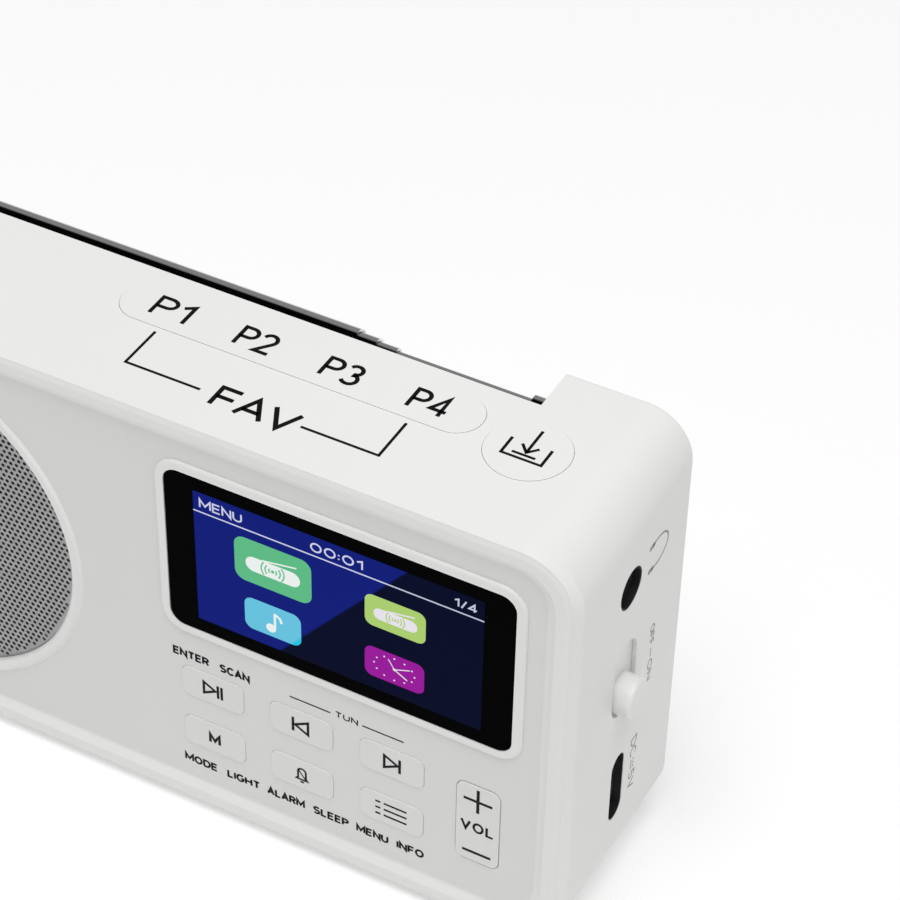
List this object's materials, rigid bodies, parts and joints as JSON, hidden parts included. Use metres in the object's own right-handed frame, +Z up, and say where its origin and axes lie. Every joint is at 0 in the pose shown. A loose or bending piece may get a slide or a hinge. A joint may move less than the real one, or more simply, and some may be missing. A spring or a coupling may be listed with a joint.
{
  "type": "tabletop radio",
  "caption": "Compact tabletop radio with a round speaker grille, small colour display, flush keys and a telescopic antenna stowed along the top rear edge.",
  "frame": {"origin": "middle of the object's footprint, on the surface it stands on", "axes": "+X to the user's right, +Y to the back, +Z up"},
  "size_m": [0.1454, 0.0324, 0.0729],
  "materials": {
    "case_white": "satin moulded",
    "key_white": "satin moulded",
    "black_rubber": "matt",
    "black_foam": "open foam",
    "black_plastic": "satin",
    "lens_black": "polished, printed black behind",
    "lcd_glass": "polished",
    "grille_steel": "silver paint, perforated",
    "pressed_steel": "black paint",
    "zinc_steel": "zinc plated",
    "pin_steel": "ground",
    "tinned_steel": "tinned",
    "cone_paper": "pressed paper",
    "copper": "enamelled wire",
    "ferrite": "ferrite and zinc plated plates",
    "circuit_board": "solder mask",
    "brass": "turned",
    "battery_wrap": "shrink wrap",
    "antenna_chrome": "polished"
  },
  "bodies": {
    "case": {"housing": "case_white", "rubber_feet": "black_rubber", "rear_cover": "case_white", "case_screws": "zinc_steel", "front_panel": "case_white", "display_lens": "lens_black", "display_gasket": "black_foam", "lcd_module": "lcd_glass", "lcd_frame": "black_plastic", "speaker_trim_ring": "case_white", "speaker_grille": "grille_steel", "speaker_basket": "pressed_steel", "speaker_surround": "black_rubber", "speaker_magnet": "ferrite", "speaker_screws": "zinc_steel", "rocker_pin": "pin_steel", "key_switches": "black_plastic", "top_switches": "black_plastic", "key_board": "circuit_board", "main_board": "circuit_board", "top_key_board": "circuit_board", "board_standoffs": "brass", "board_screws": "zinc_steel", "receiver_shield": "tinned_steel", "battery_pack": "battery_wrap", "battery_pad": "black_foam", "headphone_jack": "black_plastic", "usb_port_shell": "tinned_steel", "usb_port_sleeve": "black_plastic", "usb_port_tongue": "black_plastic", "power_switch_body": "black_plastic"},
    "play_key_body": {"play_key": "key_white"},
    "mode_key_body": {"mode_key": "key_white"},
    "tune_down_key_body": {"tune_down_key": "key_white"},
    "alarm_key_body": {"alarm_key": "key_white"},
    "tune_up_key_body": {"tune_up_key": "key_white"},
    "menu_key_body": {"menu_key": "key_white"},
    "volume_rocker_body": {"volume_rocker": "key_white"},
    "preset_strip_body": {"preset_strip": "key_white"},
    "save_key_body": {"save_key": "key_white"},
    "power_knob_body": {"power_switch_knob": "key_white"},
    "speaker_cone_body": {"speaker_cone": "cone_paper", "dust_cap": "cone_paper", "voice_coil": "copper"},
    "antenna_swivel_body": {"antenna_swivel": "antenna_chrome", "antenna_screw": "zinc_steel", "antenna_hinge_pin": "pin_steel"},
    "antenna_tube_1_body": {"antenna_tube_1": "antenna_chrome"},
    "antenna_tube_2_body": {"antenna_tube_2": "antenna_chrome"},
    "antenna_tube_3_body": {"antenna_tube_3": "antenna_chrome"},
    "antenna_rod_body": {"antenna_rod": "antenna_chrome", "antenna_tip": "antenna_chrome"}
  },
  "joints": [
    {"name": "play_press", "type": "slide", "parent": "case", "child": "play_key_body", "axis": [0, 1, 0], "range_m": [0, 0.0005], "stiffness_N_per_m": 300},
    {"name": "mode_press", "type": "slide", "parent": "case", "child": "mode_key_body", "axis": [0, 1, 0], "range_m": [0, 0.0005], "stiffness_N_per_m": 300},
    {"name": "tune_down_press", "type": "slide", "parent": "case", "child": "tune_down_key_body", "axis": [0, 1, 0], "range_m": [0, 0.0005], "stiffness_N_per_m": 300},
    {"name": "alarm_press", "type": "slide", "parent": "case", "child": "alarm_key_body", "axis": [0, 1, 0], "range_m": [0, 0.0005], "stiffness_N_per_m": 300},
    {"name": "tune_up_press", "type": "slide", "parent": "case", "child": "tune_up_key_body", "axis": [0, 1, 0], "range_m": [0, 0.0005], "stiffness_N_per_m": 300},
    {"name": "menu_press", "type": "slide", "parent": "case", "child": "menu_key_body", "axis": [0, 1, 0], "range_m": [0, 0.0005], "stiffness_N_per_m": 300},
    {"name": "volume_rock", "type": "hinge", "parent": "case", "child": "volume_rocker_body", "pos_m": [0.05695, -0.0124, 0.01965], "axis": [1, 0, 0], "range_deg": [-2.5, 2.5], "stiffness_Nm_per_rad": 0.02},
    {"name": "preset_press", "type": "slide", "parent": "case", "child": "preset_strip_body", "axis": [0, 0, -1], "range_m": [0, 0.0004], "stiffness_N_per_m": 600, "springref_m": -0.00003},
    {"name": "save_press", "type": "slide", "parent": "case", "child": "save_key_body", "axis": [0, 0, -1], "range_m": [0, 0.0004], "stiffness_N_per_m": 400, "springref_m": -0.00003},
    {"name": "power_slide", "type": "slide", "parent": "case", "child": "power_knob_body", "axis": [0, 0, 1], "range_m": [0, 0.0054]},
    {"name": "cone_travel", "type": "slide", "parent": "case", "child": "speaker_cone_body", "axis": [0, -1, 0], "range_m": [-0.0006, 0.0006], "stiffness_N_per_m": 1500},
    {"name": "antenna_turn", "type": "hinge", "parent": "case", "child": "antenna_swivel_body", "pos_m": [-0.05965, 0.01195, 0.06903], "axis": [0, 0, 1], "range_deg": [0, 110]},
    {"name": "antenna_tilt", "type": "hinge", "parent": "antenna_swivel_body", "child": "antenna_tube_1_body", "pos_m": [-0.05965, 0.01195, 0.06903], "axis": [0, -1, 0], "range_deg": [0, 90]},
    {"name": "antenna_section_2", "type": "slide", "parent": "antenna_tube_1_body", "child": "antenna_tube_2_body", "axis": [1, 0, 0], "range_m": [0, 0.066]},
    {"name": "antenna_section_3", "type": "slide", "parent": "antenna_tube_2_body", "child": "antenna_tube_3_body", "axis": [1, 0, 0], "range_m": [0, 0.066]},
    {"name": "antenna_section_4", "type": "slide", "parent": "antenna_tube_3_body", "child": "antenna_rod_body", "axis": [1, 0, 0], "range_m": [0, 0.066]}
  ],
  "couplings": [
    {"joint": "antenna_section_2", "follows": "antenna_tilt", "m_per_rad": 0.042},
    {"joint": "antenna_section_3", "follows": "antenna_tilt", "m_per_rad": 0.042},
    {"joint": "antenna_section_4", "follows": "antenna_tilt", "m_per_rad": 0.042}
  ]
}
